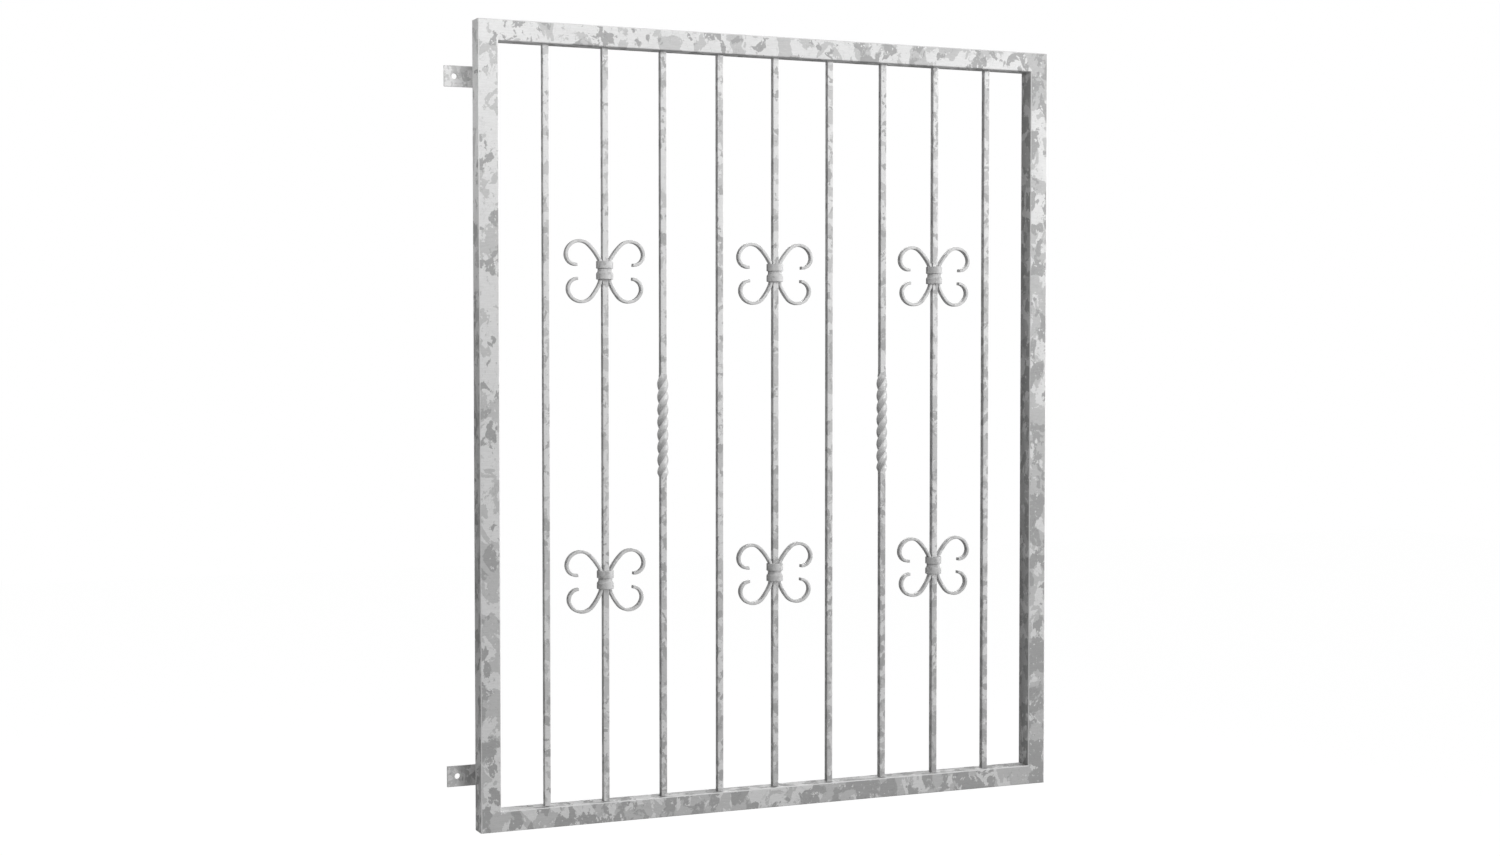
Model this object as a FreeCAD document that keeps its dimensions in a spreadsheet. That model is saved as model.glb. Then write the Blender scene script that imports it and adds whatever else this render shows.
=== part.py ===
import FreeCAD, Part
import math
import os
import Sketcher

# Window grille of galvanised steel: a mitred tube frame, nine square bars, scroll ornaments and fixing lugs.
# Sizes are in millimetres. +X runs to the right as seen from outside, +Y into the wall and +Z up.
# The origin lies midway between the two lug holes, on the face of the wall.

BAR_COUNT = 9
TWISTED_BARS = (3, 7)
ORNAMENT_BARS = (2, 5, 8)
TWIST_STEPS = 30

SIZES = [
    ("frame_width", 1250, "outside width of the frame"),
    ("frame_height", 1554, "outside height of the frame"),
    ("tube_side", 40, "side of the square frame tube"),
    ("tube_wall", 2, "wall of the frame tube"),
    ("tube_edge_radius", 2, "rounding of the tube's long edges"),
    ("bar_side", 12, "side of the square bars"),
    ("bar_pitch", 121.6, "distance from bar to bar"),
    ("twist_side", 16, "side of the twisted middle"),
    ("twist_length", 200, "length over which the turns are made"),
    ("twist_turns", 2, "whole turns of the twist"),
    ("shoulder_into_twist", 5.5, "part of the shoulder inside the turned length"),
    ("shoulder_beyond_twist", 2, "part of the shoulder outside the turned length"),
    ("ornament_rise", 303, "height of the ornaments above and below mid height"),
    ("scroll_thickness", 6, "thickness of the flat bar of the scrolls"),
    ("scroll_width", 12, "width of the flat bar of the scrolls"),
    ("upper_straight", 12.4, "straight run along the bar above the ornament's middle"),
    ("lower_straight", 14.4, "straight run along the bar below the ornament's middle"),
    ("root_radius", 24, "radius of the bend at the bar"),
    ("leg_radius", 110, "radius of the long leg"),
    ("crown_radius", 28, "radius over the crown of a wing"),
    ("tip_radius", 20, "radius of the curl at the tip"),
    ("upper_root_turn", 29, "degrees turned at the bar, upper wing"),
    ("upper_leg_turn", 18, "degrees turned along the leg, upper wing"),
    ("upper_crown_turn", 119, "degrees turned over the crown, upper wing"),
    ("lower_root_turn", 24.6, "degrees turned at the bar, lower wing"),
    ("lower_leg_turn", 15.6, "degrees turned along the leg, lower wing"),
    ("lower_crown_turn", 117.3, "degrees turned over the crown, lower wing"),
    ("tip_turn", 110, "degrees turned by the curl at the tip"),
    ("collar_height", 36, "height of a collar"),
    ("collar_lift", 2, "height of the collar's middle above the ornament's middle"),
    ("ring_diameter", 33.4, "outside of the collar's two rings"),
    ("ring_height", 14.6, "height of each ring"),
    ("ring_chamfer", 1.2, "bevel on the edges of the rings"),
    ("waist_diameter", 27.8, "outside of the collar between its rings"),
    ("collar_clearance", 0.1, "play of the collar round the bar and the two scrolls"),
    ("lug_height", 40, "height of a fixing lug"),
    ("lug_thickness", 5, "thickness of a fixing lug"),
    ("lug_reach", 55, "length of a lug beside the frame"),
    ("lug_overlap", 35, "length of a lug behind the stile"),
    ("lug_hole_diameter", 11, "hole for the wall bolt"),
    ("lug_hole_inset", 20, "distance of the hole from the lug's free end"),
    ("lug_end_distance", 107, "distance of the lug holes from the frame's upper and lower ends"),
]

LEFT_EDGE = "sizes.lug_reach - sizes.lug_hole_inset"
FRAME_CENTRE_X = f"{LEFT_EDGE} + sizes.frame_width / 2"
FRAME_CENTRE_Y = "-sizes.lug_thickness - sizes.tube_side / 2"
BAR_LENGTH = "(sizes.frame_height - 2 * sizes.tube_side)"

doc = FreeCAD.newDocument("window_grille")
sheet = doc.addObject("Spreadsheet::Sheet", "sizes")
nodes = []


def fill_sheet():
    """Writes every driving size into the sheet, under its own alias."""
    for row, (alias, number, meaning) in enumerate(SIZES, start=1):
        sheet.set(f"A{row}", alias)
        sheet.set(f"B{row}", str(number))
        sheet.set(f"C{row}", meaning)
        sheet.setAlias(f"B{row}", alias)
    doc.recompute()


def size(alias):
    """Reads one driving size back from the sheet."""
    return float(sheet.get(alias))


def place(piece, along_x="0", along_y="0", along_z="0"):
    """Binds a piece's position to the sheet and keeps its turn."""
    piece.setExpression("Placement.Base.x", along_x)
    piece.setExpression("Placement.Base.y", along_y)
    piece.setExpression("Placement.Base.z", along_z)


def new_body(label):
    """Starts one physical piece of the grille."""
    body = doc.addObject("PartDesign::Body", label)
    body.Label = label
    nodes.append(body)
    return body


def new_sketch(body, name, plane_role):
    """Starts a sketch on one of the body's own origin planes."""
    sketch = body.newObject("Sketcher::SketchObject", name)
    plane = next(item for item in body.Origin.OriginFeatures if item.Role == plane_role)
    sketch.AttachmentSupport = (plane, [""])
    sketch.MapMode = "FlatFace"
    return sketch


def bind(sketch, constraint, expression):
    """Adds a driving constraint whose value follows the sheet."""
    index = sketch.addConstraint(constraint)
    sketch.setExpression(f"Constraints[{index}]", expression)


def add_outline(sketch, corners):
    """Draws a closed outline of straight lines; each corner is a pair of expressions."""
    count = len(corners)
    spread = [FreeCAD.Vector(9 * math.cos(2 * math.pi * k / count), 9 * math.sin(2 * math.pi * k / count), 0)
              for k in range(count)]
    lines = [sketch.addGeometry(Part.LineSegment(spread[k], spread[(k + 1) % count])) for k in range(count)]
    for k in range(count):
        sketch.addConstraint(Sketcher.Constraint("Coincident", lines[k], 2, lines[(k + 1) % count], 1))
    for line, start, (across, up) in zip(lines, spread, corners):
        bind(sketch, Sketcher.Constraint("DistanceX", line, 1, start.x), across)
        bind(sketch, Sketcher.Constraint("DistanceY", line, 1, start.y), up)


def add_rectangle(sketch, width, height):
    """Draws a rectangle about the sketch's origin."""
    add_outline(sketch, [(f"-({width}) / 2", f"-({height}) / 2"), (f"({width}) / 2", f"-({height}) / 2"),
                         (f"({width}) / 2", f"({height}) / 2"), (f"-({width}) / 2", f"({height}) / 2")])


def symmetric_pad(body, sketch, length):
    """Thickens a sketch evenly to both sides of its plane."""
    pad = body.newObject("PartDesign::Pad", f"{body.Label}_pad")
    pad.Profile = sketch
    pad.SideType = "Symmetric"
    pad.setExpression("Length", length)
    doc.recompute()
    return pad


def symmetric_pocket(body, sketch, length, name):
    """Cuts a sketch away evenly to both sides of its plane."""
    before = body.Shape.Volume
    pocket = body.newObject("PartDesign::Pocket", name)
    pocket.Profile = sketch
    pocket.SideType = "Symmetric"
    pocket.setExpression("Length", length)
    doc.recompute()
    if body.Shape.Volume >= before:
        raise RuntimeError(f"{name} cuts nothing")
    return pocket


def edge_names(shape, wanted):
    """Names the edges of a shape that pass a test."""
    return [f"Edge{number}" for number, edge in enumerate(shape.Edges, start=1) if wanted(edge)]


# Frame tubes, cut to a mitre at both ends

def make_frame_tube(label, length, turn, along_x, along_z):
    """Makes one frame tube, drawn along X with its long side below, then turned about Y into its place."""
    body = new_body(label)
    section = new_sketch(body, f"{label}_section", "YZ_Plane")
    add_rectangle(section, "sizes.tube_side", "sizes.tube_side")
    hollow = "sizes.tube_side - 2 * sizes.tube_wall"
    add_rectangle(section, hollow, hollow)
    pad = symmetric_pad(body, section, length)

    half_side = size("tube_side") / 2

    def is_outer_edge(edge):
        middle = edge.CenterOfMass
        return abs(middle.x) < 0.01 and abs(abs(middle.y) - half_side) < 0.01 and abs(abs(middle.z) - half_side) < 0.01

    rounding = body.newObject("PartDesign::Fillet", f"{label}_rounding")
    rounding.Base = (pad, edge_names(pad.Shape, is_outer_edge))
    rounding.setExpression("Radius", "sizes.tube_edge_radius")
    doc.recompute()

    mitre = new_sketch(body, f"{label}_mitre", "XZ_Plane")
    for sign in ("", "-"):
        add_outline(mitre, [(f"{sign}({length}) / 2", "-sizes.tube_side / 2"),
                            (f"{sign}({length}) / 2", "sizes.tube_side / 2"),
                            (f"{sign}(({length}) / 2 - sizes.tube_side)", "sizes.tube_side / 2")])
    symmetric_pocket(body, mitre, "2 * sizes.tube_side", f"{label}_mitre_cut")
    body.Placement.Rotation = FreeCAD.Rotation(FreeCAD.Vector(0, 1, 0), turn)
    place(body, along_x, FRAME_CENTRE_Y, along_z)


def make_frame():
    """Makes the two rails and the two stiles."""
    rail_rise = "(sizes.frame_height - sizes.tube_side) / 2"
    stile_shift = "(sizes.frame_width - sizes.tube_side) / 2"
    make_frame_tube("bottom_rail", "sizes.frame_width", 0, FRAME_CENTRE_X, f"-{rail_rise}")
    make_frame_tube("top_rail", "sizes.frame_width", 180, FRAME_CENTRE_X, rail_rise)
    make_frame_tube("left_stile", "sizes.frame_height", 90, f"{FRAME_CENTRE_X} - {stile_shift}", "0")
    make_frame_tube("right_stile", "sizes.frame_height", -90, f"{FRAME_CENTRE_X} + {stile_shift}", "0")


# Square bars, two of them with a twisted middle

def bar_axis_x(number):
    """Gives the expression for a bar's place across the frame."""
    return f"{FRAME_CENTRE_X} + ({number - (BAR_COUNT + 1) / 2}) * sizes.bar_pitch"


def square_length(name, length, along_z):
    """Makes a straight length of square bar standing on a given height of its own axis."""
    bar = doc.addObject("Part::Box", name)
    bar.setExpression("Length", "sizes.bar_side")
    bar.setExpression("Width", "sizes.bar_side")
    bar.setExpression("Height", length)
    place(bar, "-sizes.bar_side / 2", "-sizes.bar_side / 2", along_z)
    return bar


def make_plain_bar(number):
    """Makes a plain bar that butts against both rails."""
    label = f"bar_{number}"
    bar = square_length(label, BAR_LENGTH, f"-{BAR_LENGTH} / 2")
    bar.Label = label
    place(bar, f"{bar_axis_x(number)} - sizes.bar_side / 2", f"{FRAME_CENTRE_Y} - sizes.bar_side / 2",
          f"-{BAR_LENGTH} / 2")
    nodes.append(bar)


def square_section(name, side, height, degrees):
    """Makes one square section of the twist, turned about the bar's axis."""
    section = doc.addObject("Part::RegularPolygon", name)
    section.Polygon = 4
    section.setExpression("Circumradius", f"{side} / sqrt(2)")
    section.Placement.Rotation = FreeCAD.Rotation(FreeCAD.Vector(0, 0, 1), 45)
    section.setExpression("Placement.Rotation.Angle", f"45 + {degrees}")
    place(section, along_z=height)
    return section


def loft(name, sections, ruled):
    """Joins a row of sections into a solid."""
    body = doc.addObject("Part::Loft", name)
    body.Sections = sections
    body.Solid = True
    body.Ruled = ruled
    return body


def make_twisted_bar(number):
    """Makes a bar forged in one piece: plain ends, a shoulder at each end of the twist and the twist itself."""
    label = f"twisted_bar_{number}"
    full_run = "(sizes.twist_length - 2 * sizes.shoulder_into_twist)"
    end_rise = "(sizes.twist_length / 2 + sizes.shoulder_beyond_twist)"

    sections = []
    for step in range(TWIST_STEPS + 1):
        height = f"{full_run} * ({step} / {TWIST_STEPS} - 0.5)"
        degrees = f"360 * sizes.twist_turns * {height} / sizes.twist_length"
        sections.append(square_section(f"{label}_section_{step}", "sizes.twist_side", height, degrees))
    pieces = [loft(f"{label}_twist", sections, False)]

    for end, sign, turned in (("lower", "-", sections[0]), ("upper", "", sections[-1])):
        plain = square_section(f"{label}_{end}_plain", "sizes.bar_side", f"{sign}{end_rise}",
                               f"{sign}180 * sizes.twist_turns")
        pieces.append(loft(f"{label}_{end}_shoulder", [turned, plain], True))
    straight_length = f"{BAR_LENGTH} / 2 - {end_rise}"
    pieces.append(square_length(f"{label}_lower_length", straight_length, f"-{BAR_LENGTH} / 2"))
    pieces.append(square_length(f"{label}_upper_length", straight_length, end_rise))

    bar = doc.addObject("Part::MultiFuse", label)
    bar.Label = label
    bar.Shapes = pieces
    place(bar, bar_axis_x(number), FRAME_CENTRE_Y)
    nodes.append(bar)


def make_bars():
    """Makes the nine bars."""
    for number in range(1, BAR_COUNT + 1):
        if number in TWISTED_BARS:
            make_twisted_bar(number)
        else:
            make_plain_bar(number)


# Scrolls, each bent on the flat from one length of flat bar

WINGS = {
    "upper": [("root_radius", "upper_root_turn"), ("leg_radius", "upper_leg_turn"),
              ("crown_radius", "upper_crown_turn"), ("tip_radius", "tip_turn")],
    "lower": [("root_radius", "lower_root_turn"), ("leg_radius", "lower_leg_turn"),
              ("crown_radius", "lower_crown_turn"), ("tip_radius", "tip_turn")],
}


def add_wing(sketch, line, wing, offset_sign):
    """Draws one edge of a wing as tangent arcs and returns its last arc with the point that ends it.

    The edge on the bar's side has offset_sign 1 and bends on a wider radius than the other edge.
    """
    upper = wing == "upper"
    joint, far_end = (2, 1) if upper else (1, 2)
    direction = 1 if upper else -1
    half_thickness = size("scroll_thickness") / 2
    x = size("bar_side") / 2 + half_thickness - offset_sign * half_thickness
    z = size(f"{wing}_straight")
    turned = 0.0
    previous, previous_end = line, joint
    for radius_name, turn_name in WINGS[wing]:
        radius = size(radius_name) + offset_sign * half_thickness
        turn = math.radians(size(turn_name))
        centre_x = x + radius * math.cos(turned)
        centre_z = z - radius * math.sin(turned)
        centre = FreeCAD.Vector(centre_x, direction * centre_z, 0)
        start = math.pi - turned - turn if upper else math.pi + turned
        circle = Part.Circle(centre, FreeCAD.Vector(0, 0, 1), radius)
        arc = sketch.addGeometry(Part.ArcOfCircle(circle, start, start + turn))
        sketch.addConstraint(Sketcher.Constraint("Tangent", previous, previous_end, arc, joint))
        bind(sketch, Sketcher.Constraint("Radius", arc, radius),
             f"sizes.{radius_name} + ({offset_sign}) * sizes.scroll_thickness / 2")
        bind(sketch, Sketcher.Constraint("Angle", arc, turn), f"sizes.{turn_name} * 1 deg")
        turned += turn
        x = centre_x - radius * math.cos(turned)
        z = centre_z + radius * math.sin(turned)
        previous, previous_end = arc, far_end
    return previous, previous_end


def add_scroll_edge(sketch, offset_sign):
    """Draws one whole edge of a scroll and returns its upper and lower ends."""
    half_thickness = size("scroll_thickness") / 2
    x = size("bar_side") / 2 + half_thickness - offset_sign * half_thickness
    line = sketch.addGeometry(Part.LineSegment(FreeCAD.Vector(x, -size("lower_straight"), 0),
                                               FreeCAD.Vector(x, size("upper_straight"), 0)))
    sketch.addConstraint(Sketcher.Constraint("Vertical", line))
    bind(sketch, Sketcher.Constraint("DistanceX", line, 1, x),
         f"sizes.bar_side / 2 + sizes.scroll_thickness * (1 - ({offset_sign})) / 2")
    bind(sketch, Sketcher.Constraint("DistanceY", line, 1, -size("lower_straight")), "-sizes.lower_straight")
    bind(sketch, Sketcher.Constraint("DistanceY", line, 2, size("upper_straight")), "sizes.upper_straight")
    return {wing: add_wing(sketch, line, wing, offset_sign) for wing in WINGS}


def point_of(sketch, end):
    """Reads where an end of the sketch lies."""
    return sketch.getPoint(end[0], end[1])


def make_scroll(label, number, sign, turn):
    """Makes a scroll that lies flat against its bar; the left one is the right one turned about the bar."""
    body = new_body(label)
    outline = new_sketch(body, f"{label}_outline", "XZ_Plane")
    bar_edge = add_scroll_edge(outline, 1)
    far_edge = add_scroll_edge(outline, -1)
    for wing in WINGS:
        first, second = bar_edge[wing], far_edge[wing]
        cap = outline.addGeometry(Part.LineSegment(point_of(outline, first), point_of(outline, second)))
        outline.addConstraint(Sketcher.Constraint("Coincident", cap, 1, first[0], first[1]))
        outline.addConstraint(Sketcher.Constraint("Coincident", cap, 2, second[0], second[1]))
    symmetric_pad(body, outline, "sizes.scroll_width")
    body.Placement.Rotation = FreeCAD.Rotation(FreeCAD.Vector(0, 0, 1), turn)
    place(body, bar_axis_x(number), FRAME_CENTRE_Y, f"{sign}sizes.ornament_rise")


# Collars, closed round a bar and its two scrolls

def mouth_half_width(straight_end):
    """Gives half the width of the collar's channel where the bending scrolls leave it."""
    bend = "(sizes.root_radius - sizes.scroll_thickness / 2)"
    run = f"(sizes.collar_height / 2 - ({straight_end}))"
    return (f"(sizes.bar_side / 2 + sizes.scroll_thickness + sizes.collar_clearance"
            f" + {bend} - sqrt({bend}^2 - {run}^2))")


def make_collar(label, number, sign):
    """Makes a collar: a turned spool of two rings and a waist, with a channel for the bar and the scrolls."""
    body = new_body(label)
    half = "sizes.collar_height / 2"
    ring = "sizes.ring_diameter / 2"
    waist = "sizes.waist_diameter / 2"
    waist_rise = f"({half} - sizes.ring_height)"
    spool = new_sketch(body, f"{label}_spool", "XZ_Plane")
    add_outline(spool, [("0", f"-{half}"), (ring, f"-{half}"), (ring, f"-{waist_rise}"), (waist, f"-{waist_rise}"),
                        (waist, waist_rise), (ring, waist_rise), (ring, half), ("0", half)])
    turned = body.newObject("PartDesign::Revolution", f"{label}_turned")
    turned.Profile = spool
    turned.ReferenceAxis = (spool, ["V_Axis"])
    turned.Angle = 360
    doc.recompute()

    def is_ring_edge(edge):
        return isinstance(edge.Curve, Part.Circle) and abs(edge.Curve.Radius - size("ring_diameter") / 2) < 0.01

    bevel = body.newObject("PartDesign::Chamfer", f"{label}_bevel")
    bevel.Base = (turned, edge_names(turned.Shape, is_ring_edge))
    bevel.setExpression("Size", "sizes.ring_chamfer")
    doc.recompute()

    upper_end = "(sizes.upper_straight - sizes.collar_lift)"
    lower_end = "(sizes.lower_straight + sizes.collar_lift)"
    throat = "(sizes.bar_side / 2 + sizes.scroll_thickness + sizes.collar_clearance)"
    upper_mouth = mouth_half_width(upper_end)
    lower_mouth = mouth_half_width(lower_end)
    channel = new_sketch(body, f"{label}_channel", "XZ_Plane")
    add_outline(channel, [(f"-{lower_mouth}", f"-{half}"), (lower_mouth, f"-{half}"), (throat, f"-{lower_end}"),
                          (throat, upper_end), (upper_mouth, half), (f"-{upper_mouth}", half),
                          (f"-{throat}", upper_end), (f"-{throat}", f"-{lower_end}")])
    symmetric_pocket(body, channel, "max(sizes.bar_side; sizes.scroll_width) + 2 * sizes.collar_clearance",
                     f"{label}_channel_cut")
    place(body, bar_axis_x(number), FRAME_CENTRE_Y, f"{sign}sizes.ornament_rise + sizes.collar_lift")


def make_ornaments():
    """Makes the two ornaments on each of the ornamented bars."""
    for number in ORNAMENT_BARS:
        for level, sign in (("upper", ""), ("lower", "-")):
            make_scroll(f"scroll_{number}_{level}_left", number, sign, 180)
            make_scroll(f"scroll_{number}_{level}_right", number, sign, 0)
            make_collar(f"collar_{number}_{level}", number, sign)


# Fixing lugs, welded to the back of the left stile

def make_lug(label, sign):
    """Makes a lug of flat bar, drawn about its bolt hole."""
    body = new_body(label)
    half_height = "sizes.lug_height / 2"
    free_end = "-sizes.lug_hole_inset"
    welded_end = f"({LEFT_EDGE} + sizes.lug_overlap)"
    outline = new_sketch(body, f"{label}_outline", "XZ_Plane")
    add_outline(outline, [(free_end, f"-{half_height}"), (welded_end, f"-{half_height}"),
                          (welded_end, half_height), (free_end, half_height)])
    hole = outline.addGeometry(Part.Circle(FreeCAD.Vector(0, 0, 0), FreeCAD.Vector(0, 0, 1),
                                           size("lug_hole_diameter") / 2))
    outline.addConstraint(Sketcher.Constraint("Coincident", hole, 3, -1, 1))
    bind(outline, Sketcher.Constraint("Diameter", hole, size("lug_hole_diameter")), "sizes.lug_hole_diameter")
    symmetric_pad(body, outline, "sizes.lug_thickness")
    place(body, "0", "-sizes.lug_thickness / 2", f"{sign}(sizes.frame_height / 2 - sizes.lug_end_distance)")


def make_lugs():
    """Makes the two lugs."""
    make_lug("upper_lug", "")
    make_lug("lower_lug", "-")


def check_document():
    """Stops when any object failed or any piece has no sound solid."""
    for item in doc.Objects:
        if "Invalid" in item.State or "Error" in item.State:
            raise RuntimeError(f"{item.Label} failed: {item.State}")
    for node in nodes:
        if node.Shape.isNull() or not node.Shape.isValid():
            raise RuntimeError(f"{node.Label} has no valid shape")
        if len(node.Shape.Solids) != 1:
            raise RuntimeError(f"{node.Label} is not one solid")


def export_nodes():
    """Writes one file for each piece."""
    os.makedirs("parts", exist_ok=True)
    for node in nodes:
        node.Shape.exportStep(f"parts/{node.Label}.step")


fill_sheet()
make_frame()
make_bars()
make_ornaments()
make_lugs()
doc.recompute()
check_document()
export_nodes()
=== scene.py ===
import logging
import math
from dataclasses import dataclass, field, replace
from enum import Enum

import bmesh
import bpy
from mathutils import Matrix, Vector


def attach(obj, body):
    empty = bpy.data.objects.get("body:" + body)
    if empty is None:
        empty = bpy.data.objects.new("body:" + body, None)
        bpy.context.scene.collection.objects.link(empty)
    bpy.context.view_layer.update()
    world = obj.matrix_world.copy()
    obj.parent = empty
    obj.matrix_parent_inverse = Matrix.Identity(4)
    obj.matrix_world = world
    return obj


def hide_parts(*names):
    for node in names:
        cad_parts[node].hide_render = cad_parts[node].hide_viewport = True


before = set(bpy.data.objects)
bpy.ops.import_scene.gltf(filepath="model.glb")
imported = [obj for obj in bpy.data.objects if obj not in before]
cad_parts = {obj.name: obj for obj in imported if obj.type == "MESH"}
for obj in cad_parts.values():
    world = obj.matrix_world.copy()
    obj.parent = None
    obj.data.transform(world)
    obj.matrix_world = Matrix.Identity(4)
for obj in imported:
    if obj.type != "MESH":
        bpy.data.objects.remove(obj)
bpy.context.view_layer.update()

# Looks of a galvanised window grille. Sizes are in millimetres in the part's own frame:
# +X to the right as seen from outside, +Y into the wall, +Z up.

LOG = logging.getLogger("window_grille")

BODY = "root"
# Mesh value that marks where the tubes' rounded edges get a painted highlight, a paler tone.
EDGE_HIGHLIGHT_MARK = "edge_highlight_share"

MILLIMETRE = 0.001
WELD_DISTANCE = 0.002
SHARP_ANGLE = math.radians(50)
# A side of an outline is longer than this many radii of its corners, and a step of a rounding is shorter.
ROUNDING_LIMIT = 1.5

# Sizes that more than one sort of piece goes by
FRAME_WIDTH = 1250.0
FRAME_HEIGHT = 1554.0
TUBE_SIDE = 40.0
BAR_SIDE = 12.0
SCROLL_THICKNESS = 6.0
COLLAR_CLEARANCE = 0.1
LUG_THICKNESS = 5.0
HOLE_TO_STILE = 35.0

FRAME_CENTRE_X = HOLE_TO_STILE + FRAME_WIDTH / 2
FRAME_CENTRE_Y = -LUG_THICKNESS - TUBE_SIDE / 2

ACROSS = Vector((1, 0, 0))
INTO_WALL = Vector((0, 1, 0))
UP = Vector((0, 0, 1))


class Level(Enum):
    """The upper or the lower one of two pieces that are alike."""

    UPPER = "upper"
    LOWER = "lower"

    @property
    def sign(self) -> int:
        """1 above mid height and -1 below it."""
        return 1 if self is Level.UPPER else -1


class Hand(Enum):
    """The side of its bar that a scroll stands on."""

    LEFT = "left"
    RIGHT = "right"

    @property
    def angle(self) -> float:
        """The half turn about the bar, in radians, that makes a left scroll of a right one."""
        return math.pi if self is Hand.LEFT else 0.0


@dataclass(frozen=True)
class Clouds:
    """A cloud pattern: its scale, its number of finer layers, their strength and the pull on its shape."""

    scale: float
    detail: float
    ruggedness: float
    distortion: float = 0.0


@dataclass(frozen=True)
class Step:
    """A soft step: where it starts and ends, and the values before and after it."""

    start: float
    end: float
    low: float = 0.0
    high: float = 1.0


class NodeBoard:
    """The node tree of one material, with short ways to add and join nodes."""

    def __init__(self, name: str) -> None:
        """Starts an empty material.

        Args:
            name: Name of the material.
        """
        self.material = bpy.data.materials.new(name)
        self.material.use_nodes = True
        self.tree = self.material.node_tree
        self.tree.nodes.clear()

    def add(self, kind: str) -> bpy.types.Node:
        """Adds a node of a kind."""
        return self.tree.nodes.new(kind)

    def join(self, source: bpy.types.NodeSocket, target: bpy.types.NodeSocket) -> None:
        """Joins an output to an input."""
        self.tree.links.new(source, target)

    def place(self, shift: tuple[float, float, float], stretch: tuple[float, float, float],
              turn: tuple[float, float, float] = (0.0, 0.0, 0.0)) -> bpy.types.NodeSocket:
        """Gives the piece's own coordinates, moved and stretched for one pattern.

        Args:
            shift: Shift of the pattern, so that two patterns don't fall on each other.
            stretch: Scale along each axis.
            turn: Turn of the pattern in radians.

        Returns:
            The socket with the coordinates.
        """
        coordinates = self.add("ShaderNodeTexCoord")
        mapping = self.add("ShaderNodeMapping")
        mapping.inputs["Location"].default_value = shift
        mapping.inputs["Rotation"].default_value = turn
        mapping.inputs["Scale"].default_value = stretch
        self.join(coordinates.outputs["Object"], mapping.inputs["Vector"])
        return mapping.outputs["Vector"]

    def lean(self, slope: tuple[float, float, float]) -> bpy.types.NodeSocket:
        """Gives a value that grows steadily over the grille.

        Args:
            slope: Growth per metre along each axis.

        Returns:
            The socket with the value, 0 at the origin.
        """
        coordinates = self.add("ShaderNodeTexCoord")
        product = self.add("ShaderNodeVectorMath")
        product.operation = "DOT_PRODUCT"
        product.inputs[1].default_value = slope
        self.join(coordinates.outputs["Object"], product.inputs[0])
        return product.outputs["Value"]

    def reading(self, name: str) -> bpy.types.NodeSocket:
        """Reads a value that the piece's mesh carries."""
        carried = self.add("ShaderNodeAttribute")
        carried.attribute_name = name
        return carried.outputs["Fac"]

    def noise(self, vector: bpy.types.NodeSocket, clouds: Clouds, scale: float = 1.0) -> bpy.types.NodeSocket:
        """Adds a cloud pattern.

        Args:
            vector: Coordinates of the pattern.
            clouds: What the pattern is like.
            scale: Clouds per metre in a pattern of scale 1.

        Returns:
            The socket with the pattern's level, about 0.5 on average.
        """
        texture = self.add("ShaderNodeTexNoise")
        texture.inputs["Scale"].default_value = clouds.scale * scale
        texture.inputs["Detail"].default_value = clouds.detail
        texture.inputs["Roughness"].default_value = clouds.ruggedness
        texture.inputs["Distortion"].default_value = clouds.distortion
        self.join(vector, texture.inputs["Vector"])
        return texture.outputs["Fac"]

    def rise(self, level: bpy.types.NodeSocket, step: Step) -> bpy.types.NodeSocket:
        """Turns a level into a soft step.

        Args:
            level: The level to read.
            step: Where the step lies and what it leads to.

        Returns:
            The socket with the stepped value.
        """
        ramp = self.add("ShaderNodeMapRange")
        ramp.interpolation_type = "SMOOTHSTEP"
        ramp.inputs["From Min"].default_value = step.start
        ramp.inputs["From Max"].default_value = step.end
        ramp.inputs["To Min"].default_value = step.low
        ramp.inputs["To Max"].default_value = step.high
        self.join(level, ramp.inputs["Value"])
        return ramp.outputs["Result"]

    def math(self, operation: str, first: bpy.types.NodeSocket,
             second: bpy.types.NodeSocket | float = 0.0) -> bpy.types.NodeSocket:
        """Joins two values by one sum.

        Args:
            operation: Name of the sum, such as MULTIPLY.
            first: First value.
            second: Second value, a socket or a number; some sums don't read it.

        Returns:
            The socket with the result.
        """
        sum_node = self.add("ShaderNodeMath")
        sum_node.operation = operation
        self.join(first, sum_node.inputs[0])
        if isinstance(second, bpy.types.NodeSocket):
            self.join(second, sum_node.inputs[1])
        else:
            sum_node.inputs[1].default_value = second
        return sum_node.outputs["Value"]

    def blend(self, share: bpy.types.NodeSocket, first: bpy.types.NodeSocket | float,
              second: float) -> bpy.types.NodeSocket:
        """Fades one tone into another.

        Args:
            share: Share of the second tone.
            first: First tone, a socket or a number.
            second: Second tone.

        Returns:
            The socket with the tone.
        """
        mix = self.add("ShaderNodeMix")
        mix.data_type = "FLOAT"
        self.join(share, mix.inputs["Factor"])
        if isinstance(first, bpy.types.NodeSocket):
            self.join(first, mix.inputs[2])
        else:
            mix.inputs[2].default_value = first
        mix.inputs[3].default_value = second
        return mix.outputs[0]


# Patterns that every zinc coat has. Patches, flecks and veins go with the coat's patch scale;
# grain and streaks are counted per metre.

PATCH_STRETCH = (1.0, 1.0, 0.8)
DARK_STRETCH = (1.0, 1.0, 0.85)
DARK_SHIFT = 3.7
STREAK_STRETCH = (1.0, 1.0, 9.0)
STREAK_SLANT = (0.0, math.radians(38), 0.0)

PATCH_CLOUDS = Clouds(1.0, 7.0, 0.58, 0.5)
DARK_CLOUDS = Clouds(1.5, 7.0, 0.58, 0.4)
FLECK_CLOUDS = Clouds(6.0, 3.0, 0.55)
VEIN_CLOUDS = Clouds(1.2, 5.0, 0.55, 0.6)
GRAIN_CLOUDS = Clouds(900.0, 2.0, 0.5)
STREAK_CLOUDS = Clouds(60.0, 3.0, 0.5)
CLOUD_MEAN = 0.5

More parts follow.
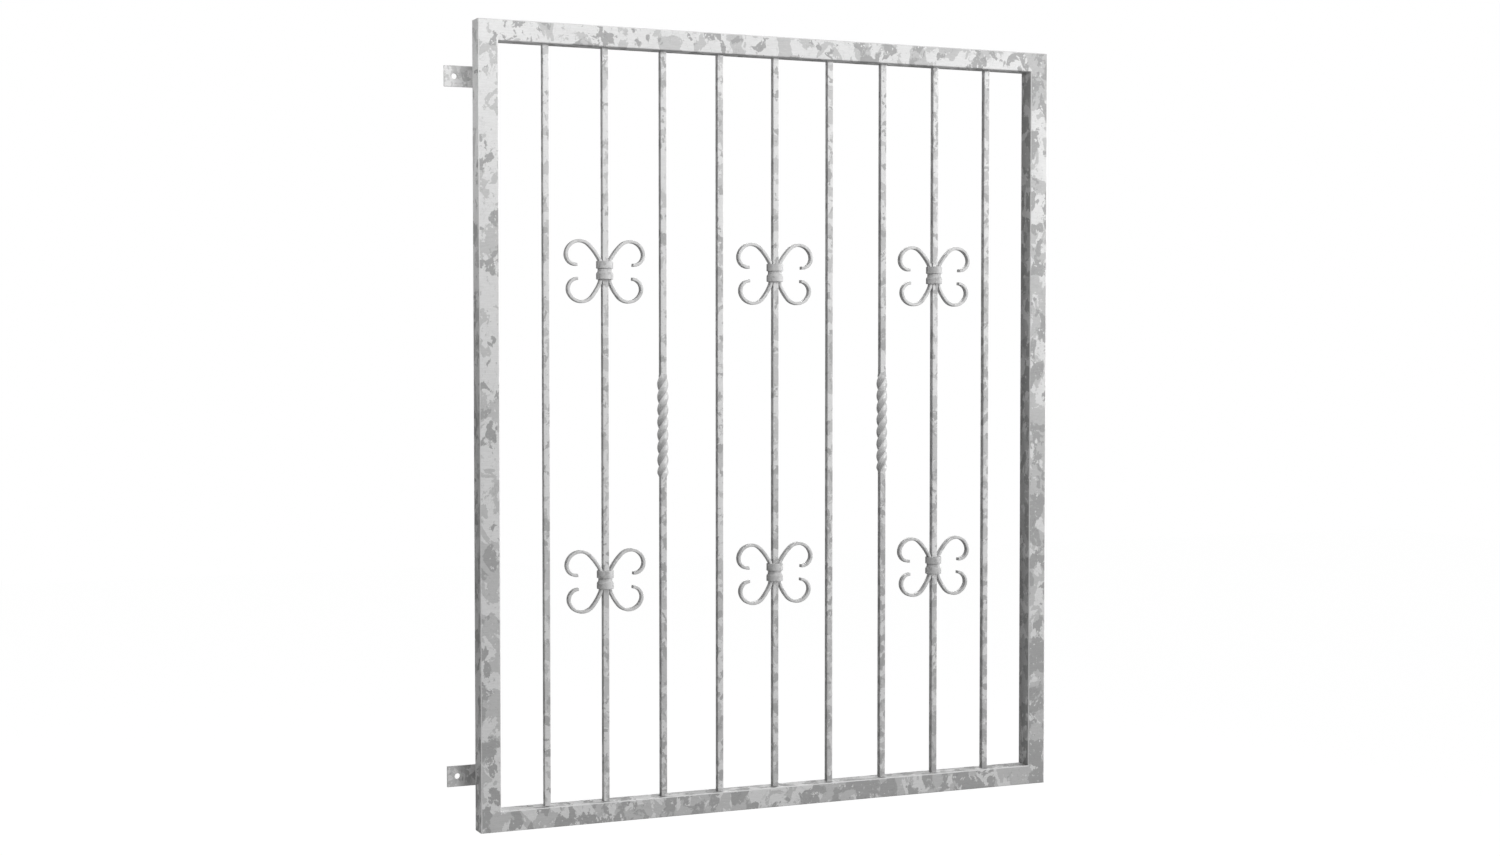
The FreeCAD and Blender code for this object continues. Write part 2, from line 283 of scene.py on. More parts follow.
PALE_FLECKS = Step(0.65, 0.68)
DARK_FLECKS = Step(0.34, 0.31)
VEIN_SHADE = Step(0.002, 0.007, 0.88, 1.0)
GRAIN_SHADE = Step(0.3, 0.7, 0.97, 1.03)
STREAK_SHADE = Step(0.35, 0.65, 0.97, 1.03)

EVEN_SHARE = 0.62
EVEN_FADE = 0.97
SHEEN_START = 0.35
SHEEN_END = 0.65
SHEEN_DROP = 0.05
SHEEN_GAIN = 0.07
RELIEF_DEPTH = 0.0006


@dataclass(frozen=True)
class ZincCoat:
    """Hot-dip zinc on steel: a pale ground with ragged patches in two darker tones.

    Tones are linear greys, scales are per metre, and growth is the patches' gain per metre along each axis.
    Within the even reach above and below mid height the patches fade towards the even tone. The edge tone is
    a painted highlight, laid where a piece's mesh marks its edges. A tone or reach of 0 leaves these two out.
    """

    name: str
    slot: str
    ground: float
    patch: float
    dark_patch: float
    patch_scale: float
    patch_level: float
    dark_level: float
    edge_width: float
    roughness: float
    metallic: float
    relief: float
    shift: tuple[float, float, float]
    growth: tuple[float, float, float] = (0.035, 0.0, -0.03)
    even_reach: float = 0.0
    even_tone: float = 0.0
    # Tone of the painted highlight on marked edges.
    edge_highlight_tone: float = 0.0
    gloss: float = 0.0

    def clouds_level(self, board: NodeBoard, vector: bpy.types.NodeSocket,
                     clouds: Clouds) -> bpy.types.NodeSocket:
        """Adds the clouds that patches are cut from, which spread over the grille.

        Args:
            board: The material's nodes.
            vector: Coordinates of the clouds.
            clouds: What they are like.

        Returns:
            The socket with their level.
        """
        return board.math("ADD", board.noise(vector, clouds, self.patch_scale), board.lean(self.growth))

    def patch_share(self, board: NodeBoard, level: bpy.types.NodeSocket,
                    start: float) -> bpy.types.NodeSocket:
        """Cuts patches out of clouds.

        Args:
            board: The material's nodes.
            level: Level of the clouds.
            start: Level where the patches start.

        Returns:
            The socket with 1 in the patches and 0 beside them.
        """
        return board.rise(level, Step(start, start + self.edge_width))

    def tone(self, board: NodeBoard, plain: bpy.types.NodeSocket, broad: bpy.types.NodeSocket,
             grain: bpy.types.NodeSocket) -> bpy.types.NodeSocket:
        """Lays patches, flecks, veins, grain and streaks over the ground, and a painted highlight on marked
        edges.

        Args:
            board: The material's nodes.
            plain: Coordinates of the patches.
            broad: Level of the clouds that the patches are cut from.
            grain: Level of the grain.

        Returns:
            The socket with the tone.
        """
        offset = tuple(DARK_SHIFT + part for part in self.shift)
        second = board.place(offset, DARK_STRETCH)
        narrow = self.clouds_level(board, second, DARK_CLOUDS)
        fleck = board.noise(second, FLECK_CLOUDS, self.patch_scale)
        vein = board.noise(plain, VEIN_CLOUDS, self.patch_scale)
        vein_distance = board.math("ABSOLUTE", board.math("SUBTRACT", vein, CLOUD_MEAN))
        streak = board.noise(board.place(offset, STREAK_STRETCH, STREAK_SLANT), STREAK_CLOUDS)

        tone = board.blend(self.patch_share(board, broad, self.patch_level), self.ground, self.patch)
        tone = board.blend(self.patch_share(board, narrow, self.dark_level), tone, self.dark_patch)
        tone = board.blend(board.rise(fleck, PALE_FLECKS), tone, self.ground)
        tone = board.blend(board.rise(fleck, DARK_FLECKS), tone, self.patch)
        tone = board.math("MULTIPLY", tone, board.rise(vein_distance, VEIN_SHADE))
        if self.even_reach:
            height = board.math("ABSOLUTE", board.lean((0.0, 0.0, 1.0)))
            fade = Step(self.even_reach, EVEN_FADE * self.even_reach, 0.0, EVEN_SHARE)
            tone = board.blend(board.rise(height, fade), tone, self.even_tone)
        # Painted highlight: the rounded edges that the mesh marks get a paler tone.
        if self.edge_highlight_tone:
            tone = board.blend(board.reading(EDGE_HIGHLIGHT_MARK), tone, self.edge_highlight_tone)
        tone = board.math("MULTIPLY", tone, board.rise(grain, GRAIN_SHADE))
        return board.math("MULTIPLY", tone, board.rise(streak, STREAK_SHADE))

    def material(self) -> bpy.types.Material:
        """Builds the coat's material, once.

        Returns:
            The material.
        """
        made = bpy.data.materials.get(self.name)
        if made:
            return made
        board = NodeBoard(self.name)
        plain = board.place(self.shift, PATCH_STRETCH)
        broad = self.clouds_level(board, plain, PATCH_CLOUDS)
        grain = board.noise(plain, GRAIN_CLOUDS)
        sheen = Step(SHEEN_START, SHEEN_END, self.roughness - SHEEN_DROP, self.roughness + SHEEN_GAIN)

        surface = board.add("ShaderNodeBsdfPrincipled")
        surface.inputs["Metallic"].default_value = self.metallic
        surface.inputs["Specular IOR Level"].default_value = self.gloss
        board.join(self.tone(board, plain, broad, grain), surface.inputs["Base Color"])
        board.join(board.rise(broad, sheen), surface.inputs["Roughness"])

        bump = board.add("ShaderNodeBump")
        bump.inputs["Strength"].default_value = self.relief
        bump.inputs["Distance"].default_value = RELIEF_DEPTH
        board.join(board.math("ADD", grain, broad), bump.inputs["Height"])
        board.join(bump.outputs["Normal"], surface.inputs["Normal"])
        output = board.add("ShaderNodeOutputMaterial")
        board.join(surface.outputs["BSDF"], output.inputs["Surface"])
        return board.material


# The tubes' edge tone is a painted highlight along their upper and upright rounded edges.
TUBE_ZINC = ZincCoat(name="tube_zinc", slot="frame_steel", ground=0.62, patch=0.47, dark_patch=0.35,
                     patch_scale=20.0, patch_level=0.522, dark_level=0.567, edge_width=0.008, roughness=0.38,
                     metallic=0.1, relief=0.08, shift=(0.0, 0.0, 0.0), edge_highlight_tone=0.7)
BAR_ZINC = ZincCoat(name="bar_zinc", slot="bar_steel", ground=0.65, patch=0.5, dark_patch=0.39,
                    patch_scale=36.0, patch_level=0.53, dark_level=0.58, edge_width=0.012, roughness=0.36,
                    metallic=0.1, relief=0.08, shift=(1.3, 0.4, 2.1))
TWIST_ZINC = replace(BAR_ZINC, name="twist_zinc", even_reach=0.104, even_tone=0.6, metallic=0.07)
SCROLL_ZINC = ZincCoat(name="scroll_zinc", slot="scroll_steel", ground=0.6, patch=0.53, dark_patch=0.47,
                       patch_scale=45.0, patch_level=0.54, dark_level=0.6, edge_width=0.04, roughness=0.36,
                       metallic=0.1, relief=0.08, shift=(2.6, 1.4, 0.7))
COLLAR_ZINC = ZincCoat(name="collar_zinc", slot="collar_steel", ground=0.62, patch=0.55, dark_patch=0.48,
                       patch_scale=60.0, patch_level=0.54, dark_level=0.6, edge_width=0.04, roughness=0.5,
                       metallic=0.02, relief=0.08, shift=(4.1, 2.2, 1.9))
LUG_ZINC = ZincCoat(name="lug_zinc", slot="lug_steel", ground=0.6, patch=0.47, dark_patch=0.38,
                    patch_scale=30.0, patch_level=0.52, dark_level=0.57, edge_width=0.012, roughness=0.38,
                    metallic=0.1, relief=0.08, shift=(5.2, 3.1, 0.3))


Geometry = list[bmesh.types.BMVert | bmesh.types.BMEdge | bmesh.types.BMFace]


def edges_of(geometry: Geometry) -> list[bmesh.types.BMEdge]:
    """Picks the edges out of an operator's result."""
    return [item for item in geometry if isinstance(item, bmesh.types.BMEdge)]


def points_of(geometry: Geometry) -> list[bmesh.types.BMVert]:
    """Picks the vertices out of an operator's result."""
    return [item for item in geometry if isinstance(item, bmesh.types.BMVert)]


def verts_of(edges: list[bmesh.types.BMEdge]) -> list[bmesh.types.BMVert]:
    """Lists the vertices of some edges, each once."""
    return list(dict.fromkeys(vert for edge in edges for vert in edge.verts))


def open_edges(shape: bmesh.types.BMesh) -> list[bmesh.types.BMEdge]:
    """Lists the edges that only one face uses."""
    return [edge for edge in shape.edges if edge.is_boundary]


def turn_verts(shape: bmesh.types.BMesh, angle: float, axis: str, verts: list[bmesh.types.BMVert]) -> None:
    """Turns part of a mesh about an axis through the origin.

    Args:
        shape: The mesh.
        angle: Angle in radians.
        axis: Name of the axis.
        verts: The vertices to turn.
    """
    bmesh.ops.rotate(shape, cent=(0, 0, 0), matrix=Matrix.Rotation(angle, 3, axis), verts=verts)


def rectangle(shape: bmesh.types.BMesh, width: float, depth: float, filled: bool) -> list[bmesh.types.BMVert]:
    """Draws a rectangle about the origin, in the XY plane.

    Args:
        shape: The mesh to draw in.
        width: Size along X.
        depth: Size along Y.
        filled: Whether it gets a face.

    Returns:
        Its corners.
    """
    corners = bmesh.ops.create_circle(shape, cap_ends=filled, segments=4, radius=math.sqrt(0.5))["verts"]
    turn_verts(shape, math.radians(45), "Z", corners)
    bmesh.ops.scale(shape, vec=(width, depth, 1), verts=corners)
    return corners


def rounded_loop(shape: bmesh.types.BMesh, width: float, depth: float, radius: float, segments: int,
                 cuts: int = 0) -> list[bmesh.types.BMEdge]:
    """Draws a rectangle with rounded corners about the origin, in the XY plane.

    Args:
        shape: The mesh to draw in.
        width: Size along X.
        depth: Size along Y.
        radius: Rounding of the corners.
        segments: Steps of each rounding.
        cuts: Points added along each side.

    Returns:
        The edges of the outline.
    """
    corners = rectangle(shape, width, depth, True)
    bmesh.ops.bevel(shape, geom=corners, offset=radius, offset_type="OFFSET", segments=segments, profile=0.5,
                    affect="VERTICES", material=-1)
    sides = [edge for edge in shape.edges if edge.calc_length() > ROUNDING_LIMIT * radius]
    bmesh.ops.delete(shape, geom=list(shape.faces), context="FACES_ONLY")
    if cuts:
        bmesh.ops.subdivide_edges(shape, edges=sides, cuts=cuts)
    return list(shape.edges)


class LoopRun:
    """The open end of a wall, which is carried on and leaves more wall behind it."""

    def __init__(self, shape: bmesh.types.BMesh, edges: list[bmesh.types.BMEdge]) -> None:
        """Takes up an open end.

        Args:
            shape: The mesh that the end belongs to.
            edges: The edges round the end.
        """
        self.shape = shape
        self.edges = edges

    def advance(self, shift: Vector) -> None:
        """Carries the end straight on.

        Args:
            shift: Way of the end.
        """
        out = bmesh.ops.extrude_edge_only(self.shape, edges=self.edges)["geom"]
        fresh = set(points_of(out))
        self.edges = [edge for edge in edges_of(out) if fresh.issuperset(edge.verts)]
        bmesh.ops.translate(self.shape, vec=shift, verts=verts_of(self.edges))

    def swell(self, factor: float, angle: float = 0.0) -> None:
        """Widens the end about the Z axis and turns it.

        Args:
            factor: Growth across the axis.
            angle: Turn about the axis in radians.
        """
        verts = verts_of(self.edges)
        bmesh.ops.scale(self.shape, vec=(factor, factor, 1), verts=verts)
        turn_verts(self.shape, angle, "Z", verts)

    def bend(self, centre: Vector, axis: Vector, angle: float, steps: int, rise: float = 0.0) -> None:
        """Carries the end round an axis.

        Args:
            centre: A point of the axis.
            axis: Direction of the axis.
            angle: Angle in radians.
            steps: Number of steps.
            rise: Way along the axis in all.
        """
        out = bmesh.ops.spin(self.shape, geom=verts_of(self.edges) + self.edges, cent=centre, axis=axis,
                             dvec=axis * (rise / steps), angle=angle, steps=steps, use_merge=False,
                             use_duplicate=False)
        self.edges = edges_of(out["geom_last"])

    def close(self) -> None:
        """Closes the end with a flat face."""
        bmesh.ops.contextual_create(self.shape, geom=self.edges)


def finish_piece(shape: bmesh.types.BMesh, name: str, node: str, coat: ZincCoat) -> None:
    """Makes a piece of a mesh drawn in millimetres and lets it stand for a solid of the part.

    Args:
        shape: The mesh, which is used up.
        name: Name of the piece.
        node: Name of the solid.
        coat: Finish of the piece.
    """
    bmesh.ops.remove_doubles(shape, verts=list(shape.verts), dist=WELD_DISTANCE)
    bmesh.ops.recalc_face_normals(shape, faces=list(shape.faces))
    bmesh.ops.scale(shape, vec=(MILLIMETRE, MILLIMETRE, MILLIMETRE), verts=list(shape.verts))
    mesh = bpy.data.meshes.new(name)
    shape.to_mesh(mesh)
    shape.free()
    mesh.shade_smooth()
    mesh.set_sharp_from_angle(angle=SHARP_ANGLE)
    mesh.materials.append(coat.material())
    piece = bpy.data.objects.new(name, mesh)
    bpy.context.scene.collection.objects.link(piece)
    evening = piece.modifiers.new("even_shading", "WEIGHTED_NORMAL")
    evening.keep_sharp = True
    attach(piece, BODY)
    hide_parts(node)
    LOG.info("%s: %d faces", name, len(mesh.polygons))


@dataclass
class TubeFrame:
    """The outer frame: four lengths of square tube, mitred and welded flush at the corners."""

    width: float = FRAME_WIDTH
    height: float = FRAME_HEIGHT
    side: float = TUBE_SIDE
    wall: float = 2.0
    edge_radius: float = 2.0
    edge_steps: int = 5
    # Reach of the painted edge highlight into each rounding, in radii of the rounding.
    highlight_band: float = 0.9
    coat: ZincCoat = TUBE_ZINC

    def tube(self, length: float) -> bmesh.types.BMesh:
        """Shapes one mitred tube along X, with its long side below.

        Args:
            length: Length over the long side.

        Returns:
            The mesh.
        """
        shape = bmesh.new()
        wall = LoopRun(shape, rounded_loop(shape, self.side, self.side, self.edge_radius, self.edge_steps))
        wall.advance(Vector((0, 0, 0)))
        wall.swell(1 - 2 * self.wall / self.side)
        near = list(shape.verts)
        turn_verts(shape, math.radians(90), "Y", near)
        bmesh.ops.translate(shape, vec=ACROSS * (-length / 2), verts=near)
        drawn = bmesh.ops.extrude_face_region(shape, geom=list(shape.faces))["geom"]
        far = points_of(drawn)
        bmesh.ops.translate(shape, vec=ACROSS * length, verts=far)
        for sign, verts in ((-1, near), (1, far)):
            mitre = Matrix.Identity(4)
            mitre[0][2] = -sign
            mitre[0][3] = -sign * self.side / 2
            bmesh.ops.transform(shape, matrix=mitre, verts=verts)
        return shape

    def mark_highlight_edges(self, shape: bmesh.types.BMesh, is_rail: bool) -> None:
        """Marks the rounded edges for a painted highlight, a paler tone; the lower edges of a rail get none.

        Args:
            shape: A tube turned as it will stand, with its axis through the origin.
            is_rail: Whether it lies across and doesn't stand upright.
        """
        mark = shape.verts.layers.float.new(EDGE_HIGHLIGHT_MARK)
        rounding_start = self.side / 2 - self.highlight_band * self.edge_radius
        for vert in shape.verts:
            sideways = vert.co.z if is_rail else vert.co.x
            is_rounded = min(abs(vert.co.y), abs(sideways)) > rounding_start
            is_below = is_rail and vert.co.z < 0
            vert[mark] = float(is_rounded and not is_below)

    def build(self) -> None:
        """Builds and dresses the two rails and the two stiles."""
        rise = (self.height - self.side) / 2
        reach = (self.width - self.side) / 2
        lengths = (
            ("bottom_rail", self.width, 0, (0, -rise)),
            ("top_rail", self.width, 180, (0, rise)),
            ("left_stile", self.height, 90, (-reach, 0)),
            ("right_stile", self.height, -90, (reach, 0)),
        )
        for node, length, degrees, (across, up) in lengths:
            shape = self.tube(length)
            turn_verts(shape, math.radians(degrees), "Y", list(shape.verts))
            self.mark_highlight_edges(shape, across == 0)
            place = (FRAME_CENTRE_X + across, FRAME_CENTRE_Y, up)
            bmesh.ops.translate(shape, vec=place, verts=list(shape.verts))
            finish_piece(shape, f"{node}_tube", node, self.coat)


@dataclass
class SquareBars:
    """The nine upright bars, of which two are thicker and twisted in the middle."""

    side: float = BAR_SIDE
    length: float = FRAME_HEIGHT - 2 * TUBE_SIDE
    pitch: float = 121.6
    count: int = 9
    twisted: tuple[int, ...] = (3, 7)
    edge_radius: float = 0.8
    edge_steps: int = 3
    twist_side: float = 16.0
    twisted_edge_radius: float = 0.4
    twist_length: float = 200.0
    twist_turns: float = 2.0
    shoulder_into_twist: float = 5.5
    shoulder_beyond_twist: float = 2.0
    shoulder_steps: int = 5
    twist_steps: int = 126
    face_cuts: int = 5
    coat: ZincCoat = BAR_ZINC
    twisted_coat: ZincCoat = TWIST_ZINC

    def axis_x(self, number: int) -> float:
        """Place of a bar's axis across the frame."""
        return FRAME_CENTRE_X + (number - (self.count + 1) / 2) * self.pitch

    def plain(self) -> bmesh.types.BMesh:
        """Shapes a plain bar about its own axis.

        Returns:
            The mesh.
        """
        shape = bmesh.new()
        run = LoopRun(shape, rounded_loop(shape, self.side, self.side, self.edge_radius, self.edge_steps))
        bmesh.ops.translate(shape, vec=(0, 0, -self.length / 2), verts=list(shape.verts))
        run.close()
        run.advance(UP * self.length)
        run.close()
        return shape

    def shoulder(self, run: LoopRun, start: float, end: float) -> None:
        """Carries a bar through the shoulder at one end of its twist.

        Args:
            run: The open end of the bar.
            start: Side of the bar before the shoulder.
            end: Side of the bar after it.
        """
        rise = self.shoulder_into_twist + self.shoulder_beyond_twist
        angle = 2 * math.pi * self.twist_turns * self.shoulder_into_twist / self.twist_length
        growth = end - start
        for step in range(self.shoulder_steps):
            before = start + growth * step / self.shoulder_steps
            after = start + growth * (step + 1) / self.shoulder_steps
            run.advance(UP * (rise / self.shoulder_steps))
            run.swell(after / before, angle / self.shoulder_steps)

    def twist(self) -> bmesh.types.BMesh:
        """Shapes a twisted bar about its own axis.

        Returns:
            The mesh.
        """
        shape = bmesh.new()
        edges = rounded_loop(shape, self.side, self.side, self.twisted_edge_radius, self.edge_steps,
                             self.face_cuts)
        run = LoopRun(shape, edges)
        bmesh.ops.translate(shape, vec=(0, 0, -self.length / 2), verts=list(shape.verts))
        run.close()
        full_run = self.twist_length - 2 * self.shoulder_into_twist
        straight = (self.length - self.twist_length) / 2 - self.shoulder_beyond_twist
        run.advance(UP * straight)
        self.shoulder(run, self.side, self.twist_side)
        angle = 2 * math.pi * self.twist_turns * full_run / self.twist_length
        run.bend(Vector((0, 0, 0)), UP, angle, self.twist_steps, full_run)
        self.shoulder(run, self.twist_side, self.side)
        run.advance(UP * straight)
        run.close()
        return shape

    def build(self) -> None:
        """Builds and dresses the nine bars."""
        for number in range(1, self.count + 1):
            is_twisted = number in self.twisted
            shape = self.twist() if is_twisted else self.plain()
            node = f"twisted_bar_{number}" if is_twisted else f"bar_{number}"
            bmesh.ops.translate(shape, vec=(self.axis_x(number), FRAME_CENTRE_Y, 0), verts=list(shape.verts))
            finish_piece(shape, f"{node}_steel", node, self.twisted_coat if is_twisted else self.coat)


@dataclass
class Scrolls:
    """The bent flat bars of the ornaments, a left and a right one against the bar's sides."""

    thickness: float = SCROLL_THICKNESS
    width: float = 12.0
    edge_radius: float = 1.5
    edge_steps: int = 4
    bar_side: float = BAR_SIDE
    straight: dict[Level, float] = field(default_factory=lambda: {Level.UPPER: 12.4, Level.LOWER: 14.4})
    bends: dict[Level, tuple[tuple[float, float], ...]] = field(default_factory=lambda: {
        Level.UPPER: ((24.0, 29.0), (110.0, 18.0), (28.0, 119.0), (20.0, 110.0)),
        Level.LOWER: ((24.0, 24.6), (110.0, 15.6), (28.0, 117.3), (20.0, 110.0)),
    })
    degrees_per_step: float = 3.0
    least_steps: int = 4
    coat: ZincCoat = SCROLL_ZINC

    def wing(self, run: LoopRun, wing: Level, start: Vector) -> None:
        """Bends one wing, arc after arc, away from the straight part.

        Args:
            run: The open end of the straight part.
            wing: The upper or the lower wing.
            start: Middle of the open end.
        """
        turned = 0.0
        place = start.copy()
        for radius, degrees in self.bends[wing]:
            towards_centre = Vector((math.cos(turned), 0, -wing.sign * math.sin(turned)))
            centre = place + towards_centre * radius
            angle = math.radians(degrees)
            steps = max(self.least_steps, round(degrees / self.degrees_per_step))
            run.bend(centre, INTO_WALL, wing.sign * angle, steps)
            turned += angle
            place = centre - Vector((math.cos(turned), 0, -wing.sign * math.sin(turned))) * radius
        run.close()

    def right_scroll(self) -> bmesh.types.BMesh:
        """Shapes a right scroll about the ornament's middle.

        Returns:
            The mesh.
        """
        shape = bmesh.new()
        across = (self.bar_side + self.thickness) / 2
        lower_edges = rounded_loop(shape, self.thickness, self.width, self.edge_radius, self.edge_steps)
        lower_start = Vector((across, 0, -self.straight[Level.LOWER]))
        upper_start = Vector((across, 0, self.straight[Level.UPPER]))
        bmesh.ops.translate(shape, vec=lower_start, verts=list(shape.verts))
        upper_run = LoopRun(shape, lower_edges)
        upper_run.advance(upper_start - lower_start)
        self.wing(upper_run, Level.UPPER, upper_start)
        self.wing(LoopRun(shape, lower_edges), Level.LOWER, lower_start)
        return shape

    def build(self, label: str, hand: Hand, middle: Vector) -> None:
        """Builds and dresses one scroll.

        Args:
            label: Name of the solid that it stands for.
            hand: Side of the bar.
            middle: The ornament's middle.
        """
        shape = self.right_scroll()
        verts = list(shape.verts)
        turn_verts(shape, hand.angle, "Z", verts)
        bmesh.ops.translate(shape, vec=middle, verts=verts)
        finish_piece(shape, f"{label}_flat_bar", label, self.coat)


@dataclass
class Collars:
    """The turned collars that clasp a bar and its two scrolls: two rings with a waist between them."""

    height: float = 36.0
    lift: float = 2.0
    ring_radius: float = 16.7
    ring_height: float = 14.6
    top_rounding: float = 0.9
    bottom_rounding: float = 1.6
    step_rounding: float = 1.1
    waist_radius: float = 13.9
    slope_foot: float = -5.8
    slope_head: float = -2.8
    slope_rounding: float = 1.7
    face_radius: float = 15.2
    throat_half_width: float = BAR_SIDE / 2 + SCROLL_THICKNESS + COLLAR_CLEARANCE
    throat_half_depth: float = BAR_SIDE / 2 + COLLAR_CLEARANCE
    mouth_half_width: float = 13.52
    mouth_start: float = 10.4
    rounding_steps: int = 4
    rim_band: float = 0.1
    around: int = 72
    coat: ZincCoat = COLLAR_ZINC

    def spool(self, shape: bmesh.types.BMesh) -> None:
        """Turns the outside of the collar.

        Args:
            shape: The mesh to add to.
        """
        half = self.height / 2
        groove = half - self.ring_height
        outline = (
            (self.face_radius, -half), (self.ring_radius, -half),
            (self.ring_radius, self.slope_foot), (self.waist_radius, self.slope_head),
            (self.waist_radius, groove), (self.ring_radius, groove),
            (self.ring_radius, half), (self.face_radius, half),
        )
        verts = [shape.verts.new((radius, 0, rise)) for radius, rise in outline]
        for first, second in zip(verts, verts[1:]):
            shape.edges.new((first, second))
        _, lower_edge, foot, head, _, step, upper_edge, _ = verts
        roundings = (
            ([lower_edge], self.bottom_rounding),
            ([foot, head], self.slope_rounding),
            ([step], self.step_rounding),
            ([upper_edge], self.top_rounding),
        )
        for corners, rounding in roundings:
            bmesh.ops.bevel(shape, geom=corners, offset=rounding, offset_type="OFFSET",
                            segments=self.rounding_steps, profile=0.5, affect="VERTICES", material=-1)
        bmesh.ops.spin(shape, geom=list(shape.verts) + list(shape.edges), cent=(0, 0, 0), axis=UP,
                       dvec=(0, 0, 0), angle=2 * math.pi, steps=self.around, use_merge=True,
                       use_duplicate=False)

    def rim(self, shape: bmesh.types.BMesh, level: Level) -> list[bmesh.types.BMEdge]:
        """Lists the edges round the spool's open end.

        Args:
            shape: The turned outside.
            level: The upper or the lower end.

        Returns:
            The edges.
        """
        start = self.height / 2 - self.rim_band
        return [edge for edge in open_edges(shape)
                if all(level.sign * vert.co.z > start for vert in edge.verts)]

    def channel_loop(self, shape: bmesh.types.BMesh, half_width: float,
                     rise: float) -> list[bmesh.types.BMEdge]:
        """Draws one outline of the channel with as many points as the spool has round it.

        Args:
            shape: The mesh to draw in.
            half_width: Half the channel's width there.
            rise: Height of the outline.

        Returns:
            Its edges.
        """
        before = set(shape.edges)
        corners = rectangle(shape, 2 * half_width, 2 * self.throat_half_depth, False)
        bmesh.ops.translate(shape, vec=(0, 0, rise), verts=corners)
        sides = [edge for edge in shape.edges if edge not in before]
        bmesh.ops.subdivide_edges(shape, edges=sides, cuts=self.around // 4 - 1)
        return [edge for edge in shape.edges if edge not in before]

    def collar(self) -> bmesh.types.BMesh:
        """Shapes a collar about its own middle.

        Returns:
            The mesh.
        """
        shape = bmesh.new()
        self.spool(shape)
        upper_rim = self.rim(shape, Level.UPPER)
        lower_rim = self.rim(shape, Level.LOWER)
        half = self.height / 2
        lower = self.channel_loop(shape, self.throat_half_width, -half)
        middle = self.channel_loop(shape, self.throat_half_width, self.mouth_start)
        upper = self.channel_loop(shape, self.mouth_half_width, half)
        for first, second in ((lower_rim, lower), (lower, middle), (middle, upper), (upper, upper_rim)):
            bmesh.ops.bridge_loops(shape, edges=first + second)
        return shape

    def build(self, label: str, middle: Vector) -> None:
        """Builds and dresses one collar.

        Args:
            label: Name of the solid that it stands for.
            middle: The ornament's middle.
        """
        shape = self.collar()
        bmesh.ops.translate(shape, vec=middle + UP * self.lift, verts=list(shape.verts))
        finish_piece(shape, f"{label}_spool", label, self.coat)


@dataclass
class Ornaments:
    """The six ornaments, two on each of three bars, each of two scrolls and a collar."""

    bars: SquareBars
    numbers: tuple[int, ...] = (2, 5, 8)
    rise: float = 303.0
    scrolls: Scrolls = field(default_factory=Scrolls)
    collars: Collars = field(default_factory=Collars)

    def build(self) -> None:
        """Builds and dresses all scrolls and collars."""
        for number in self.numbers:
            for level in Level:
                middle = Vector((self.bars.axis_x(number), FRAME_CENTRE_Y, level.sign * self.rise))
                for hand in Hand:
                    self.scrolls.build(f"scroll_{number}_{level.value}_{hand.value}", hand, middle)
                self.collars.build(f"collar_{number}_{level.value}", middle)


@dataclass
class Lugs:
    """The two flat fixing lugs welded to the back of the left stile, each with a bolt hole."""

    left: float = -20.0
    right: float = 70.0
    height: float = 40.0
    thickness: float = LUG_THICKNESS
    hole_radius: float = 5.5
    rise: float = 670.0
    edge_radius: float = 0.7
    edge_steps: int = 3
    around: int = 64
    coat: ZincCoat = LUG_ZINC

    def plate(self) -> bmesh.types.BMesh:
        """Shapes a lug about its bolt hole, lying against the wall.

        Returns:
            The mesh.
        """
        shape = bmesh.new()
        corners = rectangle(shape, self.right - self.left, self.height, False)
        bmesh.ops.translate(shape, vec=((self.right + self.left) / 2, 0, 0), verts=corners)
        bmesh.ops.subdivide_edges(shape, edges=list(shape.edges), cuts=self.around // 4 - 1)
        bmesh.ops.create_circle(shape, cap_ends=False, segments=self.around, radius=self.hole_radius)
        bmesh.ops.bridge_loops(shape, edges=list(shape.edges))
        top = bmesh.ops.extrude_face_region(shape, geom=list(shape.faces))["geom"]
        bmesh.ops.translate(shape, vec=(0, 0, self.thickness), verts=points_of(top))
        bmesh.ops.recalc_face_normals(shape, faces=list(shape.faces))
        edges = [edge for edge in shape.edges if edge.calc_face_angle(0.0) > SHARP_ANGLE]
        bmesh.ops.bevel(shape, geom=edges, offset=self.edge_radius, offset_type="OFFSET",
                        segments=self.edge_steps, profile=0.5, affect="EDGES", material=-1)
        turn_verts(shape, math.radians(90), "X", list(shape.verts))
        return shape

    def build(self) -> None:
        """Builds and dresses both lugs."""
        for level in Level:
            shape = self.plate()
            bmesh.ops.translate(shape, vec=(0, 0, level.sign * self.rise), verts=list(shape.verts))
            node = f"{level.value}_lug"
            finish_piece(shape, f"{node}_plate", node, self.coat)


@dataclass(frozen=True)
class Panel:
    """A rectangular soft light: its middle, the point that it faces, its width and height, and its watts."""

    name: str
    place: tuple[float, float, float]
    target: tuple[float, float, float]
    size: tuple[float, float]
    power: float


SKY_PANEL = Panel("sky_panel", (0.3, -2.2, 1.4), (0.5, 0.0, 0.5), (1.5, 0.8), 24.0)
HIGH_PANEL = Panel("high_panel", (0.9, -1.2, 1.9), (0.66, 0.0, 0.4), (0.8, 0.8), 6.5)
LEFT_PANEL = Panel("left_panel", (-0.465, -0.1, 0.6), (0.035, -0.025, 0.6), (0.3, 0.3), 1.7)
LOW_LEFT_PANEL = Panel("low_left_panel", (-1.2, -0.3, -1.1), (0.1, 0.0, -0.7), (0.6, 0.6), 5.5)
RIGHT_PANEL = Panel("right_panel", (4.4, -0.75, 0.1), (0.66, 0.0, 0.0), (1.6, 1.6), 72.0)
REAR_PANEL = Panel("rear_panel", (1.7, 2.1, 1.3), (0.6, 0.0, 0.0), (1.6, 1.6), 62.0)


